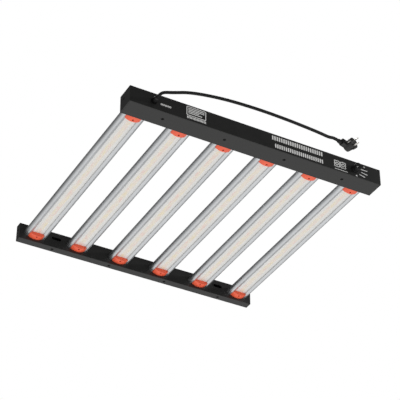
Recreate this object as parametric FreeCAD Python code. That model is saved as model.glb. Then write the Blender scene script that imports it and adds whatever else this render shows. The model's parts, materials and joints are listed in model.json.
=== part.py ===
import FreeCAD, Part
import math
import os

# Six-bar LED grow light: two black rails joined by six aluminium light bars that shine down (-Z).
# +X runs along the rails, +Y from the driver rail to the far rail, +Z is up as the light hangs.
# The origin is at the middle of the whole frame, on the plane of the rails' bottom faces.

os.makedirs("parts", exist_ok=True)
V = FreeCAD.Vector
AXIS_X = V(1, 0, 0)
AXIS_Y = V(0, 1, 0)
AXIS_Z = V(0, 0, 1)

# ---- driving dimensions, mm ----
rail_length = 900.0          # both rails, over the end plates
frame_depth = 861.0          # outer face of one rail to outer face of the other
rail_height = 60.0
driver_rail_depth = 66.4
far_rail_depth = 28.2
rail_sheet = 2.0
lid_sheet = 3.0
lid_gap = 0.3
end_plate = 3.0
fold_radius = 1.5

bar_count = 6
bar_pitch = 157.4

# ---- light bar section, heights above the rails' bottom plane ----
mouth_z = 18.9               # inner edge of the slanted lips
cover_z = 22.2               # underside of the clear cover
cover_thick = 1.5
cover_half = 20.3
led_gap = 1.7                # cover to board
board_thick = 1.6
board_half = 18.8
recess_half = 19.2
mouth_half = 20.4
seat_wall = 2.6
side_wall = 2.0
rib_rise = 1.9               # lip's upper face above the mouth, at the side wall
lip_tip = (28.0, 15.9)
lip_round = (28.7, 15.5)
side_foot = (29.4, 15.9)
side_bulge = (36.4, 20.7)
side_top = (39.7, 30.2)
wing_top = 32.0
wing_round = (38.4, 33.0)
wing_wall = 2.2
inner_bulge = (34.3, 22.3)
inner_foot = (29.0, 18.2)
fin_thick = 1.5
fin_pitch = 6.5
fin_pairs = 5
fin_top = 43.5
outer_fin_top = 40.0
boss_x = 13.0
boss_radius = 4.2

# ---- caps ----
feed_cap_length = 33.0
end_cap_length = 24.0
cap_half = 25.0
cap_edge_z = 16.9
cap_neck_half = 20.2
cap_tongue_half = 18.9
cap_side = 0.45
cap_bottom_z = 8.6
cap_lip_gap = 0.15
cap_board_gap = 0.6
cap_screw_inset = 8.0        # from the cap's inner end
cap_sink_radius = 3.3
cap_sink_floor = 13.0
cap_screw_hole = 1.7
board_setback = 14.0         # driver rail face to board: room for the leads
board_end_gap = 4.0

# ---- screws ----
m3_radius = 1.45
m3_head_radius = 2.8
m3_head = 2.0
board_screw_head = 1.4
m4_radius = 1.95
m4_head_radius = 4.0
m4_head = 2.4
m5_radius = 2.45
m5_head_radius = 4.5
m5_head = 3.2
thread_gap = 0.05
pass_gap = 0.25
drive_depth = 1.2
bar_screw_length = 16.0
lid_screw_length = 10.0
end_screw_length = 10.0
driver_screw_length = 8.0
sink_m5 = 5.0                # countersunk head radius
sink_m4 = 4.2
sink_m5_depth = 2.4
lid_screw_sunk = 0.5
sink_m4_depth = 2.3

lid_screw_x = [-322.5, -107.5, 107.5, 322.5]
bracket_width = 20.0
bracket_sheet = 2.0
bracket_height = 11.0
end_screw_z = 37.0
driver_end_screw_y = 41.6    # from the outer face
end_tab_half = 11.0
far_tab_half = 8.0
end_tab_bottom = 24.0

# ---- slots in the far rail's inner face ----
slot_length = 38.0
slot_height = 15.0
slot_z = 36.0
liner_wall = 1.2
liner_flange = 1.6
liner_rim = 0.8

# ---- hanging inserts ----
insert_x = 270.0
insert_bore = 2.5
insert_radius = 4.5
insert_flange_radius = 5.5
insert_flange = 0.8
insert_length = 14.0

# ---- leads from the bars, bus board ----
lead_radius = 1.0
lead_spacing = 1.2
lead_z = 25.9
grommet_radius = 4.0
grommet_bore = 2.6
grommet_flange_radius = 5.5
grommet_flange = 1.5
bus_half_length = 410.0
bus_thick = 1.6
bus_bottom = 18.0
bus_top = 36.0
bus_spacer = 8.4
bus_spacer_radius = 3.0

# ---- LED driver ----
driver_half_length = 230.0
driver_offset = 27.2         # rail's middle to the front of the driver's case
driver_width = 42.0
driver_height = 42.0
driver_wall = 2.5
driver_end = 2.0
driver_board_z = 22.0
driver_screw_x = [-200.0, -80.0, 80.0, 200.0]
block_offset = 9.8           # rail's middle to the terminal block's middle
output_offset = 4.8          # rail's middle to the driver's output wires

# ---- dimmer ----
dimmer_x = 354.0
dimmer_z = 29.4
knob_radius = 14.0
knob_grip_radius = 13.0
knob_top_radius = 12.5
knob_skirt = 2.0
knob_gap = 1.0
knob_height = 20.5
knob_edge = 1.3
knob_flutes = 24
flute_radius = 0.9
knob_recess_radius = 8.8
knob_recess = 6.0
pointer_width = 1.4
pointer_depth = 0.6
pointer_angle = 225.0        # rest position: fully turned down
pot_radius = 8.5
pot_depth = 9.0
bush_radius = 3.5
bush_length = 6.5
shaft_radius = 3.0
shaft_gap = 0.05
nut_flats = 10.0
nut_thick = 2.2

# ---- cable gland ----
gland_x = -369.0
gland_z = 28.0
gland_shank = 8.0
gland_hex_flats = 20.0
gland_hex = 4.0
gland_inside = 10.0
dome_radius = 9.8
dome_length = 12.0
dome_mouth = 6.3
locknut_flats = 22.0
locknut_thick = 4.0
seal_length = 6.0
gland_reach = gland_hex + dome_length + seal_length

# ---- mains lead and plug ----
cord_radius = 5.0
cord_tail = 14.0
core_radius = 1.2
plug_turn = 16.0             # degrees about Z
plug_entry = (216.5, -112.3) # x, and y from the driver rail's outer face
plug_straight = 20.0         # last straight run of the lead
plug_head_radius = 18.3
plug_head_x = 43.0
plug_face = 27.0             # cable axis to face
plug_rim = 12.0
plug_back = 7.0
plug_back_radius = 15.0
plug_z = plug_head_radius + 0.05
pin_radius = 2.4
pin_length = 19.0
pin_spacing = 19.0
pin_root = 8.0
pin_root_radius = 2.0
pin_tip = 1.6

# The lead's route, chosen by hand: x, y from the driver rail's outer face, z.
cord_points = [
    (gland_x, -gland_reach, gland_z),
    (gland_x, -38.3, gland_z),
    (-365.5, -57.0, 23.3),
    (-349.9, -86.5, 6.5),
    (-304.8, -114.5, 5.1),
    (-217.2, -132.9, 5.1),
    (-140.1, -139.3, 5.1),
    (-67.5, -141.4, 5.1),
    (4.9, -140.0, 5.1),
    (71.4, -136.2, 5.6),
    (139.2, -128.2, 8.6),
    (176.6, -119.5, 12.2),
    (plug_entry[0] - plug_straight * math.cos(math.radians(plug_turn)),
     plug_entry[1] - plug_straight * math.sin(math.radians(plug_turn)), plug_z),
    (plug_entry[0], plug_entry[1], plug_z),
]

# ---- places worked out from the sizes above ----
y_out = -(frame_depth - gland_reach) / 2
y_in = y_out + driver_rail_depth
y_far_in = y_out + frame_depth - far_rail_depth
y_far_out = y_out + frame_depth
housing_half = rail_length / 2 - end_plate
bar_x = [(k - (bar_count - 1) / 2) * bar_pitch for k in range(bar_count)]
bar_length = y_far_in - y_in
board_z = cover_z + cover_thick + led_gap
seat_z = board_z + board_thick
boss_z = seat_z + seat_wall + boss_radius - 0.4
rail_top = rail_height - rail_sheet
far_middle = (y_far_in + y_far_out) / 2
driver_middle = (y_out + y_in) / 2
slot_x = [-2 * bar_pitch, 2 * bar_pitch]
radii_printed = []


# ---- shape helpers ----
def box(x0, y0, z0, x1, y1, z1):
    return Part.makeBox(x1 - x0, y1 - y0, z1 - z0, V(x0, y0, z0))


def rod(start, radius, length, axis):
    return Part.makeCylinder(radius, length, V(*start), axis)


def cone(start, r0, r1, length, axis):
    return Part.makeCone(r0, r1, length, V(*start), axis)


def hexagon(center, flats, length, axis):
    corner = flats / math.sqrt(3)
    points = []
    for k in range(7):
        a = math.radians(60 * k)
        points.append(V(corner * math.cos(a), 0, corner * math.sin(a)))
    face = Part.Face(Part.makePolygon(points))
    solid = face.extrude(V(0, length, 0))
    if axis == AXIS_Y.negative():
        solid.translate(V(0, -length, 0))
    solid.translate(V(*center))
    return solid


def outline(start, steps):
    """Wire in the XZ plane: each step is (x, z) for a line or (mid, end) for an arc."""
    edges = []
    here = V(start[0], 0, start[1])
    for step in steps:
        if isinstance(step[0], tuple):
            mid = V(step[0][0], 0, step[0][1])
            end = V(step[1][0], 0, step[1][1])
            edges.append(Part.Arc(here, mid, end).toShape())
        else:
            end = V(step[0], 0, step[1])
            edges.append(Part.LineSegment(here, end).toShape())
        here = end
    first = V(start[0], 0, start[1])
    if here.distanceToPoint(first) > 1e-6:
        edges.append(Part.LineSegment(here, first).toShape())
    return Part.Wire(edges)


def prism_y(wire, y0, y1):
    solid = Part.Face(wire).extrude(V(0, y1 - y0, 0))
    solid.translate(V(0, y0, 0))
    return solid


def mirrored(shape):
    return shape.mirror(V(0, 0, 0), AXIS_X)


def turned_y(points, center):
    """Solid of revolution about a line along Y: points are (radius, y)."""
    vectors = [V(r, y, 0) for r, y in points]
    vectors.append(vectors[0])
    face = Part.Face(Part.makePolygon(vectors))
    solid = face.revolve(V(0, 0, 0), AXIS_Y, 360)
    solid.translate(V(*center))
    return solid


def obround(half_length, half_height, y0, y1, x, z):
    straight = half_length - half_height
    solid = box(x - straight, y0, z - half_height, x + straight, y1, z + half_height)
    for side in (-1, 1):
        end = rod((x + side * straight, y0, z), half_height, y1 - y0, AXIS_Y)
        solid = solid.fuse(end)
    return solid.removeSplitter()


def tube(points, radius, name=None):
    """Round tube on straight runs joined by tangent arcs, as large as the runs allow."""
    vectors = [V(*p) for p in points]
    edges = []
    here = vectors[0]
    for k in range(1, len(vectors) - 1):
        into = (vectors[k] - vectors[k - 1])
        out = (vectors[k + 1] - vectors[k])
        shorter = min(into.Length, out.Length)
        turn = into.getAngle(out)
        back = 0.45 * shorter
        bend = back / math.tan(turn / 2)
        if name:
            radii_printed.append((name, k, round(bend, 1), round(math.degrees(turn), 1)))
        into.normalize()
        out.normalize()
        a = vectors[k] - into * back
        b = vectors[k] + out * back
        inward = (out - into)
        inward.normalize()
        mid = vectors[k] + inward * (bend / math.cos(turn / 2) - bend)
        edges.append(Part.LineSegment(here, a).toShape())
        edges.append(Part.Arc(a, mid, b).toShape())
        here = b
    edges.append(Part.LineSegment(here, vectors[-1]).toShape())
    path = Part.Wire(edges)
    direction = vectors[1] - vectors[0]
    ring = Part.Wire(Part.Circle(vectors[0], direction, radius).toShape())
    solid = path.makePipeShell([ring], True, False)
    if name:
        ideal = math.pi * radius ** 2 * path.Length
        print(name, "length", round(path.Length, 1), "volume ratio", round(solid.Volume / ideal, 4))
    return solid


def pan_screw(radius, head_radius, head, length):
    """Pan-head screw with a cross recess: head underside at z = 0, shank up +Z."""
    dome = cone((0, 0, -head), head_radius * 0.72, head_radius, head * 0.55, AXIS_Z)
    rim = rod((0, 0, -head * 0.45), head_radius, head * 0.45, AXIS_Z)
    body = dome.fuse(rim).fuse(rod((0, 0, 0), radius, length, AXIS_Z))
    arm = radius * 0.85
    slit = radius * 0.2
    for a, b in ((arm, slit), (slit, arm)):
        body = body.cut(box(-a, -b, -head - 0.1, a, b, -head + head * 0.5))
    return body


def sunk_screw(radius, head_radius, head_depth, length):
    """Countersunk screw with a hexagon socket: head face at z = 0, shank up +Z."""
    head = cone((0, 0, 0), head_radius, radius, head_depth, AXIS_Z)
    body = head.fuse(rod((0, 0, 0), radius, length, AXIS_Z))
    corner = radius * 0.66
    points = []
    for k in range(7):
        a = math.radians(60 * k)
        points.append(V(corner * math.cos(a), corner * math.sin(a), -0.1))
    socket = Part.Face(Part.makePolygon(points)).extrude(V(0, 0, drive_depth + 0.1))
    return body.cut(socket)


def placed(shape, axis, point):
    """Copy of a +Z shape turned to an axis and moved to a point."""
    copy = shape.copy()
    if (axis - AXIS_Z).Length > 1e-9:
        turn = FreeCAD.Rotation(AXIS_Z, axis)
        copy.Placement = FreeCAD.Placement(V(0, 0, 0), turn)
    copy.translate(V(*point))
    return copy


def save(name, solids):
    if not isinstance(solids, list):
        solids = [solids]
    flat = []
    for shape in solids:
        flat.extend(shape.Solids)
    result = flat[0] if len(flat) == 1 else Part.makeCompound(flat)
    result.exportStep("parts/" + name + ".step")
    print(name, len(flat), round(sum(s.Volume for s in flat) / 1000, 2), "cm3")


# ---- rails ----
def rail_channel(y0, y1, tab_y, tab_half):
    """Folded channel, open below, with a screw tab bent down at each end."""
    outer = box(-housing_half, y0, 0, housing_half, y1, rail_height)
    folds = []
    for edge in outer.Edges:
        middle = edge.CenterOfMass
        if abs(middle.z - rail_height) < 1e-6 and abs(middle.x) < 1e-6:
            folds.append(edge)
    outer = outer.makeFillet(fold_radius, folds)
    hollow = box(-housing_half, y0 + rail_sheet, 0, housing_half, y1 - rail_sheet, rail_top)
    channel = outer.cut(hollow)
    for side in (-1, 1):
        x0 = min(side * housing_half, side * (housing_half - rail_sheet))
        tab = box(x0, tab_y - tab_half, end_tab_bottom, x0 + rail_sheet, tab_y + tab_half, rail_top)
        tab = tab.cut(rod((x0 - 1, tab_y, end_screw_z), m4_radius + thread_gap, rail_sheet + 2, AXIS_X))
        channel = channel.fuse(tab)
    return channel.removeSplitter()


def drill_bar_holes(channel, y0):
    for x in bar_x:
        for side in (-1, 1):
            hole = rod((x + side * boss_x, y0 - 1, boss_z), m5_radius + pass_gap, rail_sheet + 2, AXIS_Y)
            channel = channel.cut(hole)
    return channel


def drill_inserts(channel, y):
    for side in (-1, 1):
        hole = rod((side * insert_x, y, rail_top - 1), insert_radius + thread_gap, rail_sheet + 2, AXIS_Z)
        channel = channel.cut(hole)
    return channel


def driver_housing():
    channel = rail_channel(y_out, y_in, y_out + driver_end_screw_y, end_tab_half)
    channel = drill_bar_holes(channel, y_in - rail_sheet)
    channel = drill_inserts(channel, driver_middle)
    for x in bar_x:
        hole = rod((x, y_in - rail_sheet - 1, lead_z), grommet_radius + thread_gap, rail_sheet + 2, AXIS_Y)
        channel = channel.cut(hole)
    gland_hole = rod((gland_x, y_out - 1, gland_z), gland_shank + pass_gap, rail_sheet + 2, AXIS_Y)
    bush_hole = rod((dimmer_x, y_out - 1, dimmer_z), bush_radius + pass_gap, rail_sheet + 2, AXIS_Y)
    channel = channel.cut(gland_hole).cut(bush_hole)
    for x in driver_screw_x:
        y = driver_middle - driver_offset + driver_width / 2
        channel = channel.cut(rod((x, y, rail_top - 1), m4_radius + pass_gap, rail_sheet + 2, AXIS_Z))
    return channel


def far_housing():
    channel = rail_channel(y_far_in, y_far_out, far_middle, far_tab_half)
    channel = drill_bar_holes(channel, y_far_in)
    channel = drill_inserts(channel, far_middle)
    for x in slot_x:
        slot = obround(slot_length / 2, slot_height / 2, y_far_in - 1, y_far_in + rail_sheet + 1, x, slot_z)
        channel = channel.cut(slot)
    return channel


def rail_lid(y0, y1, y_screw):
    inset = rail_sheet + lid_gap
    half = housing_half - lid_gap
    lid = box(-half, y0 + inset, 0, half, y1 - inset, lid_sheet)
    for x in lid_screw_x:
        level = lid_screw_sunk - 0.1
        sink = cone((x, y_screw, level), sink_m5 + 0.2, m5_radius + pass_gap, sink_m5_depth, AXIS_Z)
        mouth = rod((x, y_screw, -1), sink_m5 + 0.2, 1 + level, AXIS_Z)
        hole = rod((x, y_screw, -1), m5_radius + pass_gap, lid_sheet + 2, AXIS_Z)
        lid = lid.cut(sink).cut(mouth).cut(hole)
    return lid


def lid_bracket(x, y0, y1, y_screw):
    half = bracket_width / 2
    z0 = lid_sheet
    strip = box(x - half, y0 + rail_sheet, z0, x + half, y1 - rail_sheet, z0 + bracket_sheet)
    for y in (y0 + rail_sheet, y1 - rail_sheet - bracket_sheet):
        strip = strip.fuse(box(x - half, y, z0, x + half, y + bracket_sheet, z0 + bracket_height))
    hole = rod((x, y_screw, z0 - 1), m5_radius + thread_gap, bracket_sheet + 2, AXIS_Z)
    return strip.removeSplitter().cut(hole)


def rail_end_plate(side, y0, y1, y_screw):
    x0 = min(side * housing_half, side * (housing_half + end_plate))
    plate = box(x0, y0, 0, x0 + end_plate, y1, rail_height)
    corners = []
    for edge in plate.Edges:
        middle = edge.CenterOfMass
        if abs(middle.z - rail_height) < 1e-6 and abs(middle.x - x0 - end_plate / 2) < 1e-6:
            corners.append(edge)
    plate = plate.makeFillet(fold_radius, corners)
    inward = V(-side, 0, 0)
    face = side * (housing_half + end_plate)
    sink = placed(cone((0, 0, -0.01), sink_m4 + 0.2, m4_radius + pass_gap, sink_m4_depth, AXIS_Z), inward,
                  (face, y_screw, end_screw_z))
    hole = rod((x0 - 1, y_screw, end_screw_z), m4_radius + pass_gap, end_plate + 2, AXIS_X)
    return plate.cut(sink).cut(hole)


# ---- light bar ----
def bar_section():
    seat_top = seat_z + seat_wall
    side_x = mouth_half + side_wall
    inner_top = (side_top[0] - wing_wall, side_top[1])
    rib_foot = (side_x, mouth_z + rib_rise)
    steps = [
        (recess_half, seat_z),
        (recess_half, cover_z + cover_thick),
        (mouth_half, cover_z + cover_thick),
        (mouth_half, mouth_z),
        lip_tip,
        (lip_round, side_foot),
        (side_bulge, side_top),
        (side_top[0], wing_top),
        wing_round,
        inner_top,
        (inner_bulge, inner_foot),
        rib_foot,
        (side_x, seat_top),
        (0, seat_top),
    ]
    return outline((0, seat_z), steps)


def bar_profile():
    """Extrusion: trough for the board, slanted lips, thin rounded sides, fins and screw bosses."""
    half = prism_y(bar_section(), y_in, y_far_in)
    solid = half.fuse(mirrored(half))
    seat_top = seat_z + seat_wall
    for k in range(-fin_pairs, fin_pairs + 1):
        x = k * fin_pitch
        foot = seat_top - 0.5
        top = fin_top
        if abs(x) > mouth_half + side_wall:
            reach = abs(x) - fin_thick / 2
            foot = wing_floor(reach) + 0.2
        if abs(k) == fin_pairs:
            top = outer_fin_top
        solid = solid.fuse(box(x - fin_thick / 2, y_in, foot, x + fin_thick / 2, y_far_in, top))
    for side in (-1, 1):
        solid = solid.fuse(rod((side * boss_x, y_in, boss_z), boss_radius, bar_length, AXIS_Y))
    for side in (-1, 1):
        bore = rod((side * boss_x, y_in - 1, boss_z), m5_radius + thread_gap, bar_length + 2, AXIS_Y)
        solid = solid.cut(bore)
    for y in bar_screw_places():
        solid = solid.cut(rod((0, y, seat_z - 1), m3_radius + thread_gap, seat_wall + 1, AXIS_Z))
    return solid.removeSplitter()


def wing_floor(x):
    """Height at which a fin at x is sunk about half a wall into the lip or the side."""
    rib = (mouth_half + side_wall, mouth_z + rib_rise)
    if x < inner_foot[0]:
        share = (x - rib[0]) / (inner_foot[0] - rib[0])
        return rib[1] + share * (inner_foot[1] - rib[1]) - wing_wall / 2
    share = (x - inner_foot[0]) / (inner_bulge[0] - inner_foot[0])
    return inner_foot[1] + share * (inner_bulge[1] - inner_foot[1]) - wing_wall / 2


def bar_screw_places():
    near = y_in + feed_cap_length - cap_screw_inset
    far = y_far_in - end_cap_length + cap_screw_inset
    return [near, (y_in + y_far_in) / 2, far]


def led_board():
    board = box(-board_half, y_in + board_setback, board_z, board_half, y_far_in - board_end_gap, seat_z)
    for y in bar_screw_places():
        board = board.cut(rod((0, y, board_z - 1), cap_screw_hole, board_thick + 2, AXIS_Z))
    return board


def clear_cover():
    y0 = y_in + feed_cap_length
    y1 = y_far_in - end_cap_length
    return box(-cover_half, y0, cover_z, cover_half, y1, cover_z + cover_thick)


def cap_section():
    top = board_z - cap_board_gap
    ledge = cover_z + cover_thick - 0.1
    shoulder = mouth_z - cap_lip_gap
    fall = (mouth_z - lip_tip[1]) / (lip_tip[0] - mouth_half)
    edge_top = mouth_z - fall * (cap_half - mouth_half) - cap_lip_gap - 0.05
    steps = [
        (cap_tongue_half, top),
        (cap_tongue_half, ledge),
        (cap_neck_half, ledge),
        (cap_neck_half, shoulder),
        (cap_half, edge_top),
        (cap_half, edge_top - cap_side),
        ((0, cap_bottom_z), (-cap_half, edge_top - cap_side)),
        (-cap_half, edge_top),
        (-cap_neck_half, shoulder),
        (-cap_neck_half, ledge),
        (-cap_tongue_half, ledge),
    ]
    return outline((-cap_tongue_half, top), steps)


def bar_cap(y0, y1, y_screw):
    """Moulded cap that fills the trough and bulges below the lips, with a sunk screw."""
    cap = prism_y(cap_section(), y0, y1)
    sink = rod((0, y_screw, cap_bottom_z - 1), cap_sink_radius, cap_sink_floor - cap_bottom_z + 1, AXIS_Z)
    hole = rod((0, y_screw, cap_bottom_z), cap_screw_hole, board_z, AXIS_Z)
    return cap.cut(sink).cut(hole)


# ---- driver electronics ----
def driver_components(y0, z0):
    """Parts that stand on the driver's circuit board, from the mains end to the output end."""
    middle = y0 + driver_width / 2
    parts = [
        box(-205, middle - 7, z0, -190, middle + 7, z0 + 16),          # fuse and filter block
        rod((-168, middle - 7, z0), 7.5, 22, AXIS_Z),                  # filter capacitors
        rod((-150, middle + 7, z0), 7.5, 22, AXIS_Z),
        Part.makeTorus(9, 4, V(-118, middle, z0 + 4), AXIS_Z),         # choke
        box(-96, middle - 14, z0, -92, middle + 14, z0 + 24),          # heat sink plate
        rod((-70, middle - 8, z0), 8.0, 25, AXIS_Z),                   # bulk capacitors
        rod((-50, middle + 8, z0), 8.0, 25, AXIS_Z),
        box(30, middle - 14, z0, 34, middle + 14, z0 + 24),
        rod((60, middle - 7, z0), 6.0, 20, AXIS_Z),                    # output capacitors
        rod((80, middle + 7, z0), 6.0, 20, AXIS_Z),
        Part.makeTorus(8, 3.5, V(118, middle, z0 + 3.5), AXIS_Z),
        box(180, middle - 9, z0, 196, middle + 9, z0 + 12),            # output terminals
    ]
    core = box(-25, middle - 14, z0, 15, middle + 14, z0 + 24)         # transformer core and coil
    window = box(-17, middle - 15, z0 + 5, 7, middle + 15, z0 + 19)
    coil = box(-16.8, middle - 13.8, z0 + 5.2, 6.8, middle + 13.8, z0 + 18.8)
    parts.append(core.cut(window))
    parts.append(coil)
    return parts


def driver_case(y0, z0, z1):
    half = driver_half_length
    case = box(-half, y0, z0, half, y0 + driver_width, z1)
    hollow = box(-half - 1, y0 + driver_wall, z0 + driver_wall, half + 1,
                 y0 + driver_width - driver_wall, z1 - driver_wall)
    case = case.cut(hollow)
    for x in driver_screw_x:
        case = case.cut(rod((x, y0 + driver_width / 2, z1 - driver_wall - 1),
                            m4_radius + thread_gap, driver_wall + 2, AXIS_Z))
    return case


# ---- dimmer ----
def dimmer_pot():
    body = rod((dimmer_x, y_out + rail_sheet, dimmer_z), pot_radius, pot_depth, AXIS_Y)
    bush = rod((dimmer_x, y_out - bush_length, dimmer_z), bush_radius, bush_length + rail_sheet, AXIS_Y)
    bore = rod((dimmer_x, y_out - bush_length - 1, dimmer_z), shaft_radius + shaft_gap,
               bush_length + rail_sheet + 5, AXIS_Y)
    return body.fuse(bush).cut(bore).removeSplitter()


def dimmer_knob():
    """Fluted cap knob with a skirt, a recess over the nut and a pointer groove."""
    front = -knob_gap - knob_height
    skirt = -knob_gap - knob_skirt
    profile = [
        (0, -knob_gap),
        (knob_radius, -knob_gap),
        (knob_radius, skirt),
        (knob_grip_radius, skirt - 0.8),
        (knob_top_radius, front + knob_edge),
        (knob_top_radius - knob_edge * 0.3, front + knob_edge * 0.3),
        (knob_top_radius - knob_edge, front),
        (0, front),
    ]
    center = (dimmer_x, y_out, dimmer_z)
    knob = turned_y(profile, center)
    for k in range(knob_flutes):
        a = math.radians(360.0 * (k + 0.5) / knob_flutes)
        x = dimmer_x + (knob_grip_radius + 0.35) * math.cos(a)
        z = dimmer_z + (knob_grip_radius + 0.35) * math.sin(a)
        knob = knob.cut(rod((x, y_out + front - 1, z), flute_radius, knob_height - knob_skirt - 0.6, AXIS_Y))
    recess = rod((dimmer_x, y_out - knob_gap - knob_recess, dimmer_z), knob_recess_radius,
                 knob_recess + 1, AXIS_Y)
    bore = rod((dimmer_x, y_out + front + 3, dimmer_z), shaft_radius + shaft_gap, knob_height, AXIS_Y)
    groove = box(0, front - 1, -pointer_width / 2, knob_radius, front + pointer_depth, pointer_width / 2)
    side_cut = box(knob_top_radius - pointer_depth, front - 1, -pointer_width / 2,
                   knob_radius, skirt - 0.8, pointer_width / 2)
    groove = groove.fuse(side_cut)
    groove.rotate(V(0, 0, 0), AXIS_Y, -pointer_angle)
    groove.translate(V(*center))
    return knob.cut(recess).cut(bore).cut(groove)


def dimmer_shaft():
    front = y_out - knob_gap - knob_height + 3.5
    shaft = rod((dimmer_x, front, dimmer_z), shaft_radius, y_out + rail_sheet + 3 - front, AXIS_Y)
    return shaft


def dimmer_nut():
    nut = hexagon((dimmer_x, y_out - nut_thick, dimmer_z), nut_flats, nut_thick, AXIS_Y)
    return nut.cut(rod((dimmer_x, y_out - nut_thick - 1, dimmer_z), bush_radius + thread_gap,
                       nut_thick + 2, AXIS_Y))


# ---- cable gland ----
def gland_parts():
    center = (gland_x, y_out, gland_z)
    flange = hexagon((gland_x, y_out - gland_hex, gland_z), gland_hex_flats, gland_hex, AXIS_Y)
    shank = rod((gland_x, y_out - gland_hex - 5, gland_z), gland_shank,
                gland_hex + 5 + rail_sheet + gland_inside, AXIS_Y)
    bore = rod((gland_x, y_out - 30, gland_z), cord_radius + 0.1, 60, AXIS_Y)
    body = flange.fuse(shank).removeSplitter().cut(bore)
    locknut = hexagon((gland_x, y_out + rail_sheet, gland_z), locknut_flats, locknut_thick, AXIS_Y)
    locknut = locknut.cut(rod((gland_x, y_out, gland_z), gland_shank + thread_gap, 20, AXIS_Y))
    back = -gland_hex
    front = back - dome_length
    dome = turned_y([
        (gland_shank + thread_gap, back),
        (dome_radius, back),
        (dome_radius, back - 5.5),
        (dome_radius - 0.8, back - 8.5),
        (dome_radius - 2.2, front + 0.5),
        (dome_radius - 2.9, front),
        (dome_mouth, front),
        (dome_mouth, back - 5.6),
        (gland_shank + thread_gap, back - 5.6),
    ], center)
    for k in range(12):
        a = math.radians(30 * k)
        x = gland_x + (dome_radius + 0.25) * math.cos(a)
        z = gland_z + (dome_radius + 0.25) * math.sin(a)
        dome = dome.cut(rod((x, y_out + back - 5.6, z), 0.8, 5.7, AXIS_Y))
    seal = turned_y([
        (cord_radius + 0.05, back - 5.7),
        (dome_mouth - 0.1, back - 5.7),
        (dome_mouth - 0.1, front),
        (dome_mouth + 0.9, front),
        (cord_radius + 0.9, front - seal_length),
        (cord_radius + 0.05, front - seal_length),
    ], center)
    return body, locknut, dome, seal


# ---- plug, built with its entry at the origin, lead along +X and pins along -Y ----
def plug_pose(shape):
    shape.rotate(V(0, 0, 0), AXIS_Z, plug_turn)
    shape.translate(V(plug_entry[0], y_out + plug_entry[1], plug_z))
    return shape


def plug_body():
    face = -plug_face
    rim_back = face + plug_rim
    head = turned_y([
        (0, face),
        (plug_head_radius - 0.8, face),
        (plug_head_radius, face + 0.8),
        (plug_head_radius, rim_back),
        (plug_head_radius - 1.6, rim_back + 1.5),
        (plug_head_radius - 2.1, rim_back + 10),
        (plug_back_radius + 0.8, plug_back - 1.6),
        (plug_back_radius - 1.6, plug_back),
        (0, plug_back),
    ], (plug_head_x, 0, 0))
    neck = box(11, -12.0, -9.5, plug_head_x, 6.5, 9.5)
    neck = neck.makeFillet(3.0, [e for e in neck.Edges if abs(e.tangentAt(e.FirstParameter).x) > 0.9])
    relief = cone((0, 0, 0), cord_radius + 1.4, cord_radius + 3.2, 14, AXIS_X)
    body = head.fuse(neck).fuse(relief)
    for x in (3.0, 6.5, 10.0):
        ring = rod((x, 0, 0), 12, 1.4, AXIS_X).cut(rod((x - 1, 0, 0), cord_radius + 0.9, 4, AXIS_X))
        body = body.cut(ring)
    side = plug_head_radius - 3.0
    for sign in (-1, 1):
        x = plug_head_x + sign * side
        notch = box(min(x, x + sign * 9), face - 1, -4.6, max(x, x + sign * 9), face + 15, 4.6)
        body = body.cut(notch)
        z = sign * (plug_head_radius - 2.2)
        guide = box(plug_head_x - 2.6, face - 1, min(z, z + sign * 9), plug_head_x + 2.6,
                    face + plug_rim, max(z, z + sign * 9))
        body = body.cut(guide)
        pin_hole = rod((plug_head_x, face - 1, sign * pin_spacing / 2), pin_root_radius + thread_gap,
                       pin_root + 1, AXIS_Y)
        body = body.cut(pin_hole)
    return plug_pose(body)


def plug_pins():
    pins = []
    for sign in (-1, 1):
        tip = -plug_face - pin_length
        pin = turned_y([
            (0, tip),
            (pin_radius * 0.5, tip),
            (pin_radius, tip + pin_tip),
            (pin_radius, -plug_face),
            (pin_root_radius, -plug_face),
            (pin_root_radius, -plug_face + pin_root - 0.1),
            (0, -plug_face + pin_root - 0.1),
        ], (plug_head_x, 0, sign * pin_spacing / 2))
        pins.append(plug_pose(pin))
    return pins


def plug_clips():
    clips = []
    for sign in (-1, 1):
        x0 = plug_head_x + sign * (plug_head_radius - 3.0)
        foot = box(min(x0, x0 + sign * 1.0), -plug_face + 0.4, -3.6,
                   max(x0, x0 + sign * 1.0), -plug_face + 14.8, 3.6)
        spring = box(min(x0, x0 + sign * 2.2), -plug_face + 4, -3.0,
                     max(x0, x0 + sign * 2.2), -plug_face + 11, 3.0)
        spring = spring.makeChamfer(0.9, [e for e in spring.Edges
                                          if abs(e.CenterOfMass.x - x0 - sign * 2.2) < 1e-6])
        clips.append(plug_pose(foot.fuse(spring).removeSplitter()))
    return clips


# ---- build: rails ----
save("driver_rail_housing", driver_housing())
save("far_rail_housing", far_housing())
save("driver_rail_lid", rail_lid(y_out, y_in, driver_middle))
save("far_rail_lid", rail_lid(y_far_in, y_far_out, far_middle))
for side, word in ((-1, "left"), (1, "right")):
    save("driver_rail_end_" + word, rail_end_plate(side, y_out, y_in, y_out + driver_end_screw_y))
    save("far_rail_end_" + word, rail_end_plate(side, y_far_in, y_far_out, far_middle))

rail_rows = [(y_out, y_in, driver_middle), (y_far_in, y_far_out, far_middle)]
save("lid_brackets", [lid_bracket(x, y0, y1, y) for y0, y1, y in rail_rows for x in lid_screw_x])
lid_screw = sunk_screw(m5_radius, sink_m5, sink_m5_depth, lid_screw_length)
save("lid_screws", [placed(lid_screw, AXIS_Z, (x, y, lid_screw_sunk))
                    for y0, y1, y in rail_rows for x in lid_screw_x])

end_screw = sunk_screw(m4_radius, sink_m4, sink_m4_depth, end_screw_length)
end_screws = []
for side in (-1, 1):
    for y in (y_out + driver_end_screw_y, far_middle):
        x = side * (rail_length / 2 - 0.1)
        end_screws.append(placed(end_screw, V(-side, 0, 0), (x, y, end_screw_z)))
save("end_plate_screws", end_screws)

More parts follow.
